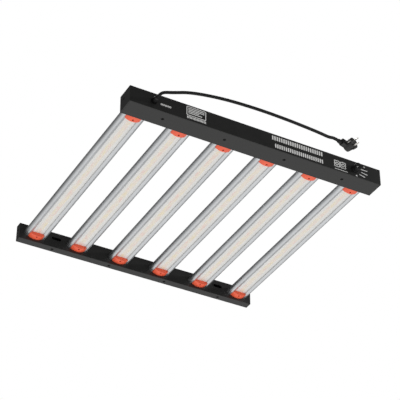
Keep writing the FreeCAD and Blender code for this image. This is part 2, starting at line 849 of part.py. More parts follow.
# ---- build: six light bars ----
profile = bar_profile()
board = led_board()
cover = clear_cover()
near_screw_y, middle_screw_y, far_screw_y = bar_screw_places()
feed_cap = bar_cap(y_in, y_in + feed_cap_length, near_screw_y)
end_cap = bar_cap(y_far_in - end_cap_length, y_far_in, far_screw_y)
for k, x in enumerate(bar_x):
    name = "bar_" + str(k + 1)
    move = V(x, 0, 0)
    save(name + "_profile", profile.translated(move))
    save(name + "_led_board", board.translated(move))
    save(name + "_cover", cover.translated(move))
    save(name + "_caps", [feed_cap.translated(move), end_cap.translated(move)])

bar_screw = pan_screw(m5_radius, m5_head_radius, m5_head, bar_screw_length)
bar_screws = []
for x in bar_x:
    for side in (-1, 1):
        near = (x + side * boss_x, y_in - rail_sheet, boss_z)
        far = (x + side * boss_x, y_far_in + rail_sheet, boss_z)
        bar_screws.append(placed(bar_screw, AXIS_Y, near))
        bar_screws.append(placed(bar_screw, V(0, -1, 0), far))
save("bar_fixing_screws", bar_screws)

seat_reach = seat_z + seat_wall - 0.3
cap_screw = pan_screw(m3_radius, m3_head_radius, m3_head, seat_reach - cap_sink_floor)
board_screw = pan_screw(m3_radius, m3_head_radius, board_screw_head, seat_reach - board_z)
small_screws = []
for x in bar_x:
    small_screws.append(placed(cap_screw, AXIS_Z, (x, near_screw_y, cap_sink_floor)))
    small_screws.append(placed(cap_screw, AXIS_Z, (x, far_screw_y, cap_sink_floor)))
    small_screws.append(placed(board_screw, AXIS_Z, (x, middle_screw_y, board_z)))
save("cap_and_board_screws", small_screws)

# ---- build: leads into the driver rail ----
bus_face = y_in - rail_sheet - bus_spacer
grommets = []
leads = []
for x in bar_x:
    sleeve = rod((x, y_in - rail_sheet, lead_z), grommet_radius, rail_sheet, AXIS_Y)
    flange = rod((x, y_in - rail_sheet - grommet_flange, lead_z), grommet_flange_radius, grommet_flange, AXIS_Y)
    bore = rod((x, y_in - 10, lead_z), grommet_bore, 20, AXIS_Y)
    grommets.append(sleeve.fuse(flange).cut(bore))
    for side in (-1, 1):
        leads.append(rod((x + side * lead_spacing, bus_face, lead_z), lead_radius,
                         y_in + board_setback - bus_face, AXIS_Y))
save("lead_grommets", grommets)
save("bar_leads", leads)

bus = [box(-bus_half_length, bus_face - bus_thick, bus_bottom, bus_half_length, bus_face, bus_top)]
for x in (-2 * bar_pitch, 0, 2 * bar_pitch):
    bus.append(rod((x, bus_face, (bus_bottom + bus_top) / 2), bus_spacer_radius, bus_spacer, AXIS_Y))
save("bus_board", bus)

# ---- build: LED driver, hung from the top of its rail ----
driver_y = driver_middle - driver_offset
driver_z = rail_top - driver_height
save("driver_case", driver_case(driver_y, driver_z, rail_top))
driver_ends = []
for side in (-1, 1):
    x0 = min(side * driver_half_length, side * (driver_half_length + driver_end))
    driver_ends.append(box(x0, driver_y, driver_z, x0 + driver_end, driver_y + driver_width, rail_top))
save("driver_end_caps", driver_ends)
board_y = driver_y + driver_wall
save("driver_circuit_board", box(4 - driver_half_length, board_y, driver_board_z, driver_half_length - 4,
                                 driver_y + driver_width - driver_wall, driver_board_z + board_thick))
save("driver_components", driver_components(driver_y, driver_board_z + board_thick))
driver_screw = pan_screw(m4_radius, m4_head_radius, m4_head, driver_screw_length)
save("driver_screws", [placed(driver_screw, V(0, 0, -1), (x, driver_y + driver_width / 2, rail_height))
                       for x in driver_screw_x])

# ---- build: mains side inside the rail ----
block_y = driver_middle + block_offset
block = box(-340, block_y - 10, rail_top - 18, -310, block_y + 10, rail_top)
for dy in (-6, 0, 6):
    block = block.cut(rod((-332, block_y + dy, rail_top - 19), 1.6, 5, AXIS_Z))
    block = block.cut(rod((-318, block_y + dy, rail_top - 19), 1.6, 5, AXIS_Z))
save("terminal_block", block)

wire_z = rail_top - 12
tail_end = y_out + rail_sheet + cord_tail
wires = [rod((gland_x, y_out - gland_reach, gland_z), cord_radius, tail_end - y_out + gland_reach, AXIS_Y)]
for dy in (-3, 0, 3):
    wires.append(tube([
        (gland_x + dy, tail_end, gland_z),
        (gland_x + dy, tail_end + 8, gland_z),
        (gland_x + 3 + dy, block_y - dy - 7, wire_z - 6),
        (gland_x + 14, block_y - dy, wire_z),
        (-340, block_y - dy, wire_z),
    ], core_radius))
    wires.append(rod((-310, block_y + dy, wire_z), core_radius, 310 - driver_half_length - driver_end, AXIS_X))
driver_end_x = driver_half_length + driver_end
for dz in (-3, 3):
    wires.append(tube([
        (driver_end_x, driver_middle + output_offset, 27 + dz),
        (driver_end_x + 12, driver_middle + output_offset, 27 + dz),
        (driver_end_x + 22, driver_middle + output_offset + 6, 27 + dz),
        (driver_end_x + 22, bus_face - bus_thick, 27 + dz),
    ], core_radius))
    wires.append(tube([
        (dimmer_x - 4, y_out + rail_sheet + pot_depth, dimmer_z + dz / 1.5),
        (dimmer_x - 4, y_out + rail_sheet + pot_depth + 9, dimmer_z + dz / 1.5),
        (dimmer_x - 14, y_out + rail_sheet + pot_depth + 14, dimmer_z + dz / 1.5),
        (driver_end_x, y_out + rail_sheet + pot_depth + 14, dimmer_z + dz / 1.5),
    ], lead_radius))
save("inner_wires", wires)

# ---- build: dimmer ----
save("dimmer_pot", dimmer_pot())
save("dimmer_nut", dimmer_nut())
save("dimmer_shaft", dimmer_shaft())
save("dimmer_knob", dimmer_knob())

# ---- build: hanging inserts and slot liners ----
inserts = []
for y in (driver_middle, far_middle):
    for side in (-1, 1):
        x = side * insert_x
        sleeve = rod((x, y, rail_height - insert_length), insert_radius, insert_length, AXIS_Z)
        flange = rod((x, y, rail_height), insert_flange_radius, insert_flange, AXIS_Z)
        bore = rod((x, y, 0), insert_bore, rail_height + 5, AXIS_Z)
        inserts.append(sleeve.fuse(flange).removeSplitter().cut(bore))
liners = []
for x in slot_x:
    half_l = slot_length / 2 - thread_gap
    half_h = slot_height / 2 - thread_gap
    sleeve = obround(half_l, half_h, y_far_in, y_far_in + rail_sheet, x, slot_z)
    for y0 in (y_far_in - liner_rim, y_far_in + rail_sheet):
        rim = obround(half_l + liner_flange, half_h + liner_flange, y0, y0 + liner_rim, x, slot_z)
        sleeve = sleeve.fuse(rim)
    hole = obround(half_l - liner_wall, half_h - liner_wall, y_far_in - 5, y_far_in + 10, x, slot_z)
    liners.append(sleeve.cut(hole).removeSplitter())
save("hanging_inserts", inserts)
save("slot_liners", liners)

# ---- build: gland, mains lead, plug ----
gland_body, gland_locknut, gland_dome, gland_seal = gland_parts()
save("gland_body", [gland_body, gland_locknut])
save("gland_dome_nut", gland_dome)
save("gland_seal", gland_seal)
route = [(x, y_out + y, z) for x, y, z in cord_points]
save("mains_cord", tube(route, cord_radius, "mains_cord"))
for entry in radii_printed:
    print("bend", entry)
save("plug_body", plug_body())
save("plug_pins", plug_pins())
save("plug_earth_clips", plug_clips())
print("y_out", y_out, "y_in", y_in, "y_far_in", y_far_in, "y_far_out", y_far_out)
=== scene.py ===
import json
import math

import bmesh
import bpy
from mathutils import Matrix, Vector


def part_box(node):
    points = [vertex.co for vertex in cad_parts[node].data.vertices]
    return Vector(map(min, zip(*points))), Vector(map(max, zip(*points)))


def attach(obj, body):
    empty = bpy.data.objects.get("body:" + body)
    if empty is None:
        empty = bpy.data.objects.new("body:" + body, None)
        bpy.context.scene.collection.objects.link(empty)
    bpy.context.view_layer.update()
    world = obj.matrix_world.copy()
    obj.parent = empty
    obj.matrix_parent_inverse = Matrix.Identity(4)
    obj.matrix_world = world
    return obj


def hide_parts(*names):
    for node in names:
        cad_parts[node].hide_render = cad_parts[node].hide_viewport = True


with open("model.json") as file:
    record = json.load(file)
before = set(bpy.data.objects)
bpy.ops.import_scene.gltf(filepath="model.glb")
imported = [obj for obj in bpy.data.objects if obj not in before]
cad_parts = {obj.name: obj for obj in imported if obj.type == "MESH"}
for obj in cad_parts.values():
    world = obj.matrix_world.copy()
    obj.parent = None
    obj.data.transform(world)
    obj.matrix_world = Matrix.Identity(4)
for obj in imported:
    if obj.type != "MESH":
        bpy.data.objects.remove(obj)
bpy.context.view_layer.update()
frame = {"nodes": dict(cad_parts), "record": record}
nodes = frame["nodes"]
mm = 0.001
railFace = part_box("driver_rail_housing")[0].y  # outer face of the driver rail
barCount, barPitch = 6, 157.4  # the light bars stand evenly about x = 0, pitch in mm
print("frame loaded:", len(nodes), "nodes")


def hexColor(code):  # sRGB hex to linear, opaque
    parts = [int(code[k:k + 2], 16) / 255 for k in (1, 3, 5)]
    return tuple(c / 12.92 if c <= 0.04045 else ((c + 0.055) / 1.055) ** 2.4 for c in parts) + (1.0,)


def addNode(tree, kind, inputs=None, links=None, **settings):
    node = tree.nodes.new(kind)
    for key, value in settings.items():
        setattr(node, key, value)
    for key, value in (inputs or {}).items():
        node.inputs[key].default_value = value
    for key, socket in (links or {}).items():
        tree.links.new(socket, node.inputs[key])
    return node


# below the light and to its left, looking up: yaw from +Y towards +X, tilt above level, both in degrees
cameraSettings = {"place": (-1.9878, -3.6696, -2.9055), "yaw": 28.66, "tilt": 35.30, "lens": 139.16}


def addCamera(s):
    data = bpy.data.cameras.new("camera")
    data.lens = s["lens"]
    data.sensor_width = 36  # mm, as the lens
    data.clip_start, data.clip_end = 0.05, 200
    camera = bpy.data.objects.new("camera", data)
    bpy.context.scene.collection.objects.link(camera)
    camera.location = s["place"]
    camera.rotation_euler = (math.radians(90 + s["tilt"]), 0, math.radians(-s["yaw"]))
    bpy.context.scene.camera = camera


addCamera(cameraSettings)

# H07RN-F style rubber lead, from the gland along the floor to its angled plug
leadSettings = {
    "radius": 5.0,  # mm
    "length": 0.651,  # metres, from the gland to the plug
    "route": [  # x, distance from the rail's outer face, height, all in mm
        (-369.0, -22.0, 28.0), (-369.0, -38.3, 28.0), (-365.5, -57.0, 23.3), (-349.9, -86.5, 6.5),
        (-304.8, -114.5, 5.1), (-217.2, -132.9, 5.1), (-140.1, -139.3, 5.1), (-67.5, -141.4, 5.1),
        (4.9, -140.0, 5.1), (71.4, -136.2, 5.6), (139.2, -128.2, 8.6), (176.6, -119.5, 12.2),
        (197.275, -117.813, 18.35), (216.5, -112.3, 18.35)],
}


def addLead(s):
    curve = bpy.data.curves.new("mainsLead", "CURVE")
    curve.dimensions = "3D"
    spline = curve.splines.new("NURBS")
    spline.points.add(len(s["route"]) - 1)
    for point, (x, y, z) in zip(spline.points, s["route"]):
        point.co = (x * mm, railFace + y * mm, z * mm, 1)
        point.radius = s["radius"] * mm
    spline.order_u = 3
    spline.use_endpoint_u = True
    spline.resolution_u = 12
    curve.bevel_depth = 1.0  # times each point's radius
    curve.bevel_resolution = 8
    curve.use_fill_caps = True
    lead = bpy.data.objects.new("mainsLead", curve)
    bpy.context.scene.collection.objects.link(lead)
    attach(lead, "light")
    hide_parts("mains_cord")
    x, y, z = s["route"][0]
    return lead


lead = addLead(leadSettings)
print("camera and lead in place")


# how far the slow noise must swing for the second colour, and what the two noises add up to
noiseSettings = {"colorStops": (0.32, 0.68), "glossSpan": (0.7, 1.3), "edgeSamples": 4}


def newMaterial(name, sockets):
    material = bpy.data.materials.new(name)
    material.use_nodes = True
    tree = material.node_tree
    surface = tree.nodes["Principled BSDF"]
    for key, value in sockets.items():
        surface.inputs[key].default_value = value
    return material, tree, surface


def objectNoise(tree, size, stretch=(1, 1, 1), detail=3.0):  # size of one blotch, in mm
    coords = addNode(tree, "ShaderNodeTexCoord")
    scale = tuple(1 / (size * mm * way) for way in stretch)
    mapping = addNode(tree, "ShaderNodeMapping", {"Scale": scale}, {"Vector": coords.outputs["Object"]})
    return addNode(tree, "ShaderNodeTexNoise", {"Scale": 1.0, "Detail": detail, "Roughness": 0.5},
                   {"Vector": mapping.outputs["Vector"]}).outputs["Fac"]


def finish(name, colors, rough, patch, grain, relief, stretch=(1, 1, 1), edge=0, **sockets):
    # colour and gloss drift over patches, the grain gives the relief, and edges are eased
    material, tree, surface = newMaterial(name, {key.replace("_", " "): v for key, v in sockets.items()})
    drift = objectNoise(tree, patch)
    ramp = addNode(tree, "ShaderNodeValToRGB", links={"Fac": drift})
    for stop, place, code in zip(ramp.color_ramp.elements, noiseSettings["colorStops"], colors):
        stop.position = place
        stop.color = hexColor(code)
    tree.links.new(ramp.outputs["Color"], surface.inputs["Base Color"])
    texture = objectNoise(tree, grain, stretch)
    both = addNode(tree, "ShaderNodeMath", links={0: drift, 1: texture}, operation="ADD")
    low, high = noiseSettings["glossSpan"]
    gloss = addNode(tree, "ShaderNodeMapRange", {
        "From Min": low, "From Max": high, "To Min": rough[0], "To Max": rough[1]},
        {"Value": both.outputs[0]})
    tree.links.new(gloss.outputs["Result"], surface.inputs["Roughness"])
    strength, depth = relief
    bump = addNode(tree, "ShaderNodeBump", {"Strength": strength, "Distance": depth * mm},
                   {"Height": texture})
    if edge:
        eased = addNode(tree, "ShaderNodeBevel", {"Radius": edge * mm}, samples=noiseSettings["edgeSamples"])
        tree.links.new(eased.outputs["Normal"], bump.inputs["Normal"])
    tree.links.new(bump.outputs["Normal"], surface.inputs["Normal"])
    return material


# name, two colours, range of roughness, size of a blotch and of the grain in mm, strength and depth of relief
finishes = {
    # polyester powder on folded steel: dark, satin, with a fine orange peel that breaks up reflections
    "black_powder_coat": finish(
        "powderCoatedSteel", ("#161615", "#1c1c1b"), (0.44, 0.54), 70, 2.2, (0.3, 0.05), edge=0.9),
    # extruded 6063, clear anodised: pale grey metal with die lines drawn along the bar
    "anodised_aluminium": finish(
        "anodisedAluminium", ("#c8cacc", "#d0d2d4"), (0.34, 0.42), 90, 1.6, (0.06, 0.02),
        stretch=(1, 200, 1), Metallic=1.0),
    # screen-printed solder mask: warm white, half gloss, slightly uneven
    "led_board_white": finish(
        "whiteSolderMask", ("#e9e6df", "#f0ede7"), (0.36, 0.46), 30, 3.0, (0.1, 0.02)),
    # injection-moulded ABS: strong red orange with a spark-eroded skin and soft edges
    "orange_plastic": finish(
        "mouldedOrangeAbs", ("#ee5c3c", "#f66643"), (0.36, 0.48), 26, 1.2, (0.3, 0.04), edge=0.8),
    # oxide-blackened screws with a faint oily gloss: their near black is partly the oxide and partly painted
    # shade, darker than the oxide alone, standing in for the shade in their countersunk holes
    "black_screw_steel": finish(
        "blackOxideAndCountersinkShade", ("#040404", "#080808"), (0.5, 0.62), 4, 0.8, (0.2, 0.02), Specular_IOR_Level=0.12),
    # zinc plate: bright bluish grey, a little blotchy
    "zinc_steel": finish(
        "zincPlatedSteel", ("#b9bcc0", "#cfd2d5"), (0.26, 0.4), 5, 1.0, (0.15, 0.02), Metallic=1.0),
    # EPDM: flat black with no clear highlight
    "black_rubber": finish(
        "mouldedEpdmRubber", ("#131313", "#1a1a1a"), (0.62, 0.76), 8, 1.0, (0.3, 0.04)),
    # PVC over copper strands: dull red, soft gloss
    "red_wire": finish(
        "pvcWireInsulation", ("#8d1712", "#a01d16"), (0.32, 0.44), 12, 1.5, (0.1, 0.02)),
    # FR-4 under green mask: deep green, clear gloss
    "green_board": finish(
        "greenSolderMask", ("#12452a", "#185434"), (0.28, 0.38), 18, 2.0, (0.1, 0.02)),
    # extruded case left as it comes from the mill: duller and streakier than the bars
    "driver_aluminium": finish(
        "millAluminium", ("#acafb2", "#c0c3c6"), (0.34, 0.5), 40, 1.6, (0.15, 0.02),
        stretch=(60, 1, 1), Metallic=1.0),
    # sleeves, potting and phenolic housings: charcoal, between dull and satin
    "component_plastic": finish(
        "pottedComponents", ("#1f1f21", "#2b2b2e"), (0.4, 0.56), 10, 1.2, (0.2, 0.03)),
    # turned brass under nickel: warm silver, tight highlights
    "pot_metal": finish(
        "nickelPlatedBush", ("#c2bdb3", "#d4d0c8"), (0.2, 0.32), 6, 0.8, (0.1, 0.01), Metallic=1.0),
    # glass-filled nylon: black, matt from the mould, with a little shine on the flutes
    "black_knob_plastic": finish(
        "mouldedNylonKnob", ("#0b0b0b", "#121212"), (0.42, 0.54), 9, 0.9, (0.3, 0.03),
        edge=0.3, Specular_IOR_Level=0.35),
    # PA6 gland, moulded: deeper black than the rail behind it, with a weak sheen
    "black_gland_nylon": finish(
        "mouldedNylonGland", ("#030303", "#060606"), (0.5, 0.6), 9, 0.9, (0.2, 0.03),
        edge=0.3, Specular_IOR_Level=0.2),
    # extruded rubber sheath: matt black with dusty patches and faint lengthwise drag
    "cord_rubber": finish(
        "rubberSheath", ("#080808", "#0f0f0e"), (0.58, 0.7), 16, 1.4, (0.3, 0.05),
        stretch=(6, 1, 1), Specular_IOR_Level=0.3),
    # rubber moulded over the plug's core: matt, slightly softer than the lead
    "plug_rubber": finish(
        "mouldedRubberPlug", ("#101010", "#181817"), (0.48, 0.62), 14, 1.1, (0.3, 0.04), edge=0.7),
    # turned pins with bright nickel
    "nickel_brass": finish(
        "nickelPlatedPins", ("#dedbd4", "#efede8"), (0.3, 0.4), 5, 0.8, (0.05, 0.01), Metallic=1.0),
    # extruded diffuser: half clear, so the LEDs show as soft tinted stripes
    "clear_cover": finish(
        "frostedPolycarbonate", ("#ecebe8", "#f0efec"), (0.24, 0.3), 60, 2.5, (0.04, 0.02),
        stretch=(1, 60, 1), Alpha=0.82, IOR=1.585),
}
# the warm and pink rows shine through the middle of each diffuser as soft, uneven tints
glowSettings = {"core": 5.0, "fade": 10.5, "patch": 11.0, "across": 0.7, "along": 3.2,
                "tints": ("#f4e8cc", "#f2ece2", "#f3dcd2"), "tintStops": (0.36, 0.5, 0.64)}


def addGlow(material, s):
    tree = material.node_tree
    surface = tree.nodes["Principled BSDF"]
    plain = surface.inputs["Base Color"].links[0].from_socket
    coords = addNode(tree, "ShaderNodeTexCoord")
    split = addNode(tree, "ShaderNodeSeparateXYZ", links={0: coords.outputs["Object"]})
    bars = addNode(tree, "ShaderNodeMath", {1: 1 / (barPitch * mm), 2: barCount / 2}, {0: split.outputs["X"]},
                   operation="MULTIPLY_ADD")
    share = addNode(tree, "ShaderNodeMath", links={0: bars.outputs[0]}, operation="FRACT")
    offset = addNode(tree, "ShaderNodeMath", {1: 0.5}, {0: share.outputs[0]}, operation="SUBTRACT")
    away = addNode(tree, "ShaderNodeMath", links={0: offset.outputs[0]}, operation="ABSOLUTE")
    mask = addNode(tree, "ShaderNodeMapRange", {
        "From Min": s["core"] / barPitch, "From Max": s["fade"] / barPitch, "To Min": 1.0, "To Max": 0.0},
        {"Value": away.outputs[0]}, interpolation_type="SMOOTHSTEP")
    blotches = objectNoise(tree, s["patch"], (s["across"], s["along"], 1), 2.0)
    tint = addNode(tree, "ShaderNodeValToRGB", links={"Fac": blotches})
    tint.color_ramp.elements.new(0.5)
    for stop, place, code in zip(tint.color_ramp.elements, s["tintStops"], s["tints"]):
        stop.position = place
        stop.color = hexColor(code)
    mix = addNode(tree, "ShaderNodeMix", data_type="RGBA")
    for key, socket in ((0, mask.outputs["Result"]), (6, plain), (7, tint.outputs["Color"])):
        tree.links.new(socket, mix.inputs[key])
    tree.links.new(mix.outputs[2], surface.inputs["Base Color"])


addGlow(finishes["clear_cover"], glowSettings)
slotOf = {part["node"]: part["material_slot"] for part in frame["record"]["subparts"]}
for name, piece in nodes.items():
    if piece.material_slots:
        piece.material_slots[0].material = finishes[slotOf[name]]
    else:
        piece.data.materials.append(finishes[slotOf[name]])
lead.data.materials.append(finishes["cord_rubber"])
print("materials assigned")


# two rows of packages on each board, in two halves that leave the board screw free, all in mm
ledSettings = {
    "rows": 2, "rowPitch": 11.0,
    "perHalf": 47, "pitch": 7.0,
    "firstFromFace": 105.0, "halfStep": 365.0,
    "boardUnderside": 25.4,
    "package": (3.5, 0.6), "phosphor": (2.5, 0.08), "dome": (2.9, 0.7),  # width and thickness
}


def rowTree():  # one shape along a half row, then both halves, the rows and the bars; keeps every n-th place
    tree = bpy.data.node_groups.new("ledRows", "GeometryNodeTree")
    wanted = [
        ("Corners", "NodeSocketInt", 4), ("Radius", "NodeSocketFloat", mm),
        ("Thickness", "NodeSocketFloat", mm), ("Turn", "NodeSocketVector", (0, 0, 0)),
        ("Start", "NodeSocketVector", (0, 0, 0)),
        ("Count", "NodeSocketInt", 2), ("Step", "NodeSocketVector", (0, 0, 0)),
        ("Half Step", "NodeSocketVector", (0, 0, 0)), ("Row Step", "NodeSocketVector", (0, 0, 0)),
        ("Rows", "NodeSocketInt", 2), ("Bar Step", "NodeSocketVector", (0, 0, 0)),
        ("Bars", "NodeSocketInt", 1), ("Every", "NodeSocketInt", 1), ("Place", "NodeSocketInt", 0),
        ("Material", "NodeSocketMaterial", None)]
    for label, kind, value in wanted:
        socket = tree.interface.new_socket(label, in_out="INPUT", socket_type=kind)
        if value is not None:
            socket.default_value = value
    tree.interface.new_socket("Geometry", in_out="OUTPUT", socket_type="NodeSocketGeometry")
    given = addNode(tree, "NodeGroupInput").outputs
    shape = addNode(tree, "GeometryNodeMeshCylinder", links={
        "Vertices": given["Corners"], "Radius": given["Radius"], "Depth": given["Thickness"]})
    line = addNode(tree, "GeometryNodeMeshLine", links={
        "Count": given["Count"], "Start Location": given["Start"], "Offset": given["Step"]})
    index = addNode(tree, "GeometryNodeInputIndex")
    rest = addNode(tree, "ShaderNodeMath", links={0: index.outputs[0], 1: given["Every"]}, operation="MODULO")
    chosen = addNode(tree, "ShaderNodeMath", {2: 0.5}, {0: rest.outputs[0], 1: given["Place"]},
                     operation="COMPARE")  # whole numbers, so within a half is equal
    chips = addNode(tree, "GeometryNodeInstanceOnPoints", links={
        "Points": line.outputs["Mesh"], "Selection": chosen.outputs[0], "Instance": shape.outputs["Mesh"],
        "Rotation": given["Turn"]})
    halves = addNode(tree, "GeometryNodeMeshLine", {"Count": 2}, {"Offset": given["Half Step"]})
    both = addNode(tree, "GeometryNodeInstanceOnPoints", links={
        "Points": halves.outputs["Mesh"], "Instance": chips.outputs["Instances"]})
    rows = addNode(tree, "GeometryNodeMeshLine", links={"Count": given["Rows"], "Offset": given["Row Step"]})
    onRows = addNode(tree, "GeometryNodeInstanceOnPoints", links={
        "Points": rows.outputs["Mesh"], "Instance": both.outputs["Instances"]})
    bars = addNode(tree, "GeometryNodeMeshLine", links={"Count": given["Bars"], "Offset": given["Bar Step"]})
    onBars = addNode(tree, "GeometryNodeInstanceOnPoints", links={
        "Points": bars.outputs["Mesh"], "Instance": onRows.outputs["Instances"]})
    real = addNode(tree, "GeometryNodeRealizeInstances", links={"Geometry": onBars.outputs["Instances"]})
    coated = addNode(tree, "GeometryNodeSetMaterial", links={
        "Geometry": real.outputs["Geometry"], "Material": given["Material"]})
    addNode(tree, "NodeGroupOutput", links={"Geometry": coated.outputs["Geometry"]})
    return tree


def grownMesh(name, tree, values, body):
    holder = bpy.data.objects.new(name + "Holder", bpy.data.meshes.new(name + "Holder"))
    bpy.context.scene.collection.objects.link(holder)
    modifier = holder.modifiers.new("grow", "NODES")
    modifier.node_group = tree
    for item in tree.interface.items_tree:
        if item.item_type == "SOCKET" and item.in_out == "INPUT" and item.name in values:
            modifier[item.identifier] = values[item.name]
    bpy.context.view_layer.update()
    evaluated = holder.evaluated_get(bpy.context.evaluated_depsgraph_get())
    mesh = bpy.data.meshes.new_from_object(evaluated)
    mesh.name = name
    bpy.data.objects.remove(holder)
    piece = bpy.data.objects.new(name, mesh)
    bpy.context.scene.collection.objects.link(piece)
    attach(piece, body)
    return piece


def addLeds(s):
    tree = rowTree()
    # ceramic bodies, phosphor gel in two whites, and clear domes over the red dies
    white = finish("ledPackageCeramic", ("#f0ede6", "#f6f3ed"), (0.4, 0.5), 12, 1.0, (0.05, 0.01))
    warm = finish("ledWarmPhosphor", ("#ecd6a6", "#f1ddb2"), (0.35, 0.45), 12, 1.0, (0.1, 0.01))
    cool = finish("ledCoolPhosphor", ("#efe6cc", "#f3ebd4"), (0.35, 0.45), 12, 1.0, (0.1, 0.01))
    red = finish("ledRedDome", ("#e2bdb4", "#e8c8c0"), (0.15, 0.25), 12, 1.0, (0.05, 0.01))
    kinds = [  # name, corners, size, stands on the package, every n-th place from which one, material
        ("ledPackages", 4, s["package"], False, 1, 0, white),
        ("ledWarmDies", 10, s["phosphor"], True, 2, 0, warm),
        ("ledCoolDies", 10, s["phosphor"], True, 2, 1, cool),
        ("ledRedDomes", 10, s["dome"], True, 8, 5, red)]
    firstBar = -(barCount - 1) / 2 * barPitch
    for name, corners, (width, thick), onPackage, every, place, material in kinds:
        low = s["boardUnderside"] - thick / 2 - (s["package"][1] if onPackage else 0)
        square = corners == 4
        grownMesh(name, tree, {
            "Corners": corners, "Radius": width / 2 * mm * (math.sqrt(2) if square else 1),
            "Thickness": thick * mm, "Turn": (0, 0, math.pi / 4 if square else 0),
            "Start": ((firstBar - s["rowPitch"] / 2) * mm, railFace + s["firstFromFace"] * mm, low * mm),
            "Count": s["perHalf"], "Step": (0, s["pitch"] * mm, 0), "Half Step": (0, s["halfStep"] * mm, 0),
            "Rows": s["rows"], "Row Step": (s["rowPitch"] * mm, 0, 0),
            "Bars": barCount, "Bar Step": (barPitch * mm, 0, 0),
            "Every": every, "Place": place, "Material": material}, "light")


addLeds(ledSettings)
print("LED rows grown")


# screen print on the driver rail: plain strokes and frames, no lettering
markSettings = {
    "proud": 0.12, "sunk": 0.03,
    "strokes": [  # first x, underside, then stroke width, height, step and count
        (45, 36, 5.2, 16, 8.2, 23), (55, 8, 4.8, 15, 7.8, 23),
        (-346, 22.5, 3.0, 7, 4.6, 8), (-256, 8, 3.2, 8.5, 4.8, 14), (276, 5.2, 3.6, 2.8, 4.9, 10)],
    "label": (-258, 19, -190, 54), "labelLine": 2.6, "labelCorner": 4,  # x and z of two corners
    "labelRows": [(-252, 45, 56), (-252, 39, 56), (-252, 33, 38), (-252, 27, 48)],  # x, z and length
    "labelRow": 3.2, "rowCorner": 0.8,
    "pictures": [(274, 15, 295, 40), (297, 15, 318, 40)], "pictureLine": 2.6, "pictureCorners": (3, 1.2),
    "spot": (6.4, 3.52),  # outer and inner radius of the ring in each picture
    "dashes": [(376, 36.6, 400, 36.6), (377, 25, 400, 21), (369, 14, 390, 9.5)], "dash": 2.8,
    "dot": (389, 49.5, 2.3), "arrow": (358, 6, 3.8),  # middle and size
}


def strokeTree():
    tree = bpy.data.node_groups.new("printedStrokes", "GeometryNodeTree")
    for label, kind in (
            ("Size", "NodeSocketVector"), ("Start", "NodeSocketVector"), ("Step", "NodeSocketVector"),
            ("Count", "NodeSocketInt"), ("Material", "NodeSocketMaterial")):
        tree.interface.new_socket(label, in_out="INPUT", socket_type=kind)
    tree.interface.new_socket("Geometry", in_out="OUTPUT", socket_type="NodeSocketGeometry")
    given = addNode(tree, "NodeGroupInput").outputs
    stroke = addNode(tree, "GeometryNodeMeshCube", links={"Size": given["Size"]})
    line = addNode(tree, "GeometryNodeMeshLine", links={
        "Count": given["Count"], "Start Location": given["Start"], "Offset": given["Step"]})
    row = addNode(tree, "GeometryNodeInstanceOnPoints", links={
        "Points": line.outputs["Mesh"], "Instance": stroke.outputs["Mesh"]})
    real = addNode(tree, "GeometryNodeRealizeInstances", links={"Geometry": row.outputs["Instances"]})
    inked = addNode(tree, "GeometryNodeSetMaterial", links={
        "Geometry": real.outputs["Geometry"], "Material": given["Material"]})
    addNode(tree, "NodeGroupOutput", links={"Geometry": inked.outputs["Geometry"]})
    return tree


def flatBlock(bm, points, face, s):  # outline given in x and z, as a thin block on the rail's face
    front = [bm.verts.new((x * mm, face - s["proud"] * mm, z * mm)) for x, z in points]
    back = [bm.verts.new((x * mm, face + s["sunk"] * mm, z * mm)) for x, z in points]
    bm.faces.new(front)
    bm.faces.new(list(reversed(back)))
    for k in range(len(points)):
        after = (k + 1) % len(points)
        bm.faces.new((front[k], back[k], back[after], front[after]))


def ringBlock(bm, outer, inner, face, s):
    rings = []
    for points, depth in ((outer, -s["proud"]), (inner, -s["proud"]), (inner, s["sunk"]), (outer, s["sunk"])):
        rings.append([bm.verts.new((x * mm, face + depth * mm, z * mm)) for x, z in points])
    for a in range(4):
        first, second = rings[a], rings[(a + 1) % 4]
        for k in range(len(outer)):
            after = (k + 1) % len(outer)
            bm.faces.new((first[k], second[k], second[after], first[after]))


def roundedBox(x0, z0, x1, z1, r, steps=5):
    points = []
    corners = ((x1 - r, z1 - r, 0), (x0 + r, z1 - r, 90), (x0 + r, z0 + r, 180), (x1 - r, z0 + r, 270))
    for cx, cz, start in corners:
        for k in range(steps + 1):
            a = math.radians(start + 90 * k / steps)
            points.append((cx + r * math.cos(a), cz + r * math.sin(a)))
    return points


def frameBlock(bm, box, line, corners, s):  # a rounded frame, with its outer and inner corner radius
    x0, z0, x1, z1 = box
    outer = roundedBox(x0, z0, x1, z1, corners[0])
    inner = roundedBox(x0 + line, z0 + line, x1 - line, z1 - line, corners[1])
    ringBlock(bm, outer, inner, railFace, s)


def ringPoints(x, z, r, steps=24):
    return [(x + r * math.cos(2 * math.pi * k / steps), z + r * math.sin(2 * math.pi * k / steps))
            for k in range(steps)]


def slantedDash(x0, z0, x1, z1, wide):
    dx, dz = x1 - x0, z1 - z0
    across = wide / 2 / math.hypot(dx, dz)
    return [(x0 + dz * across, z0 - dx * across), (x1 + dz * across, z1 - dx * across),
            (x1 - dz * across, z1 + dx * across), (x0 - dz * across, z0 + dx * across)]


def meshPiece(name, bm, material, body):
    bmesh.ops.recalc_face_normals(bm, faces=bm.faces)
    mesh = bpy.data.meshes.new(name)
    bm.to_mesh(mesh)
    bm.free()
    piece = bpy.data.objects.new(name, mesh)
    bpy.context.scene.collection.objects.link(piece)
    mesh.materials.append(material)
    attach(piece, body)
    return piece


# two-part epoxy ink: off-white, a little dull, thin enough to follow the powder's texture
ink = finish("whiteScreenInk", ("#efefed", "#f7f7f5"), (0.42, 0.56), 20, 2.0, (0.15, 0.01))


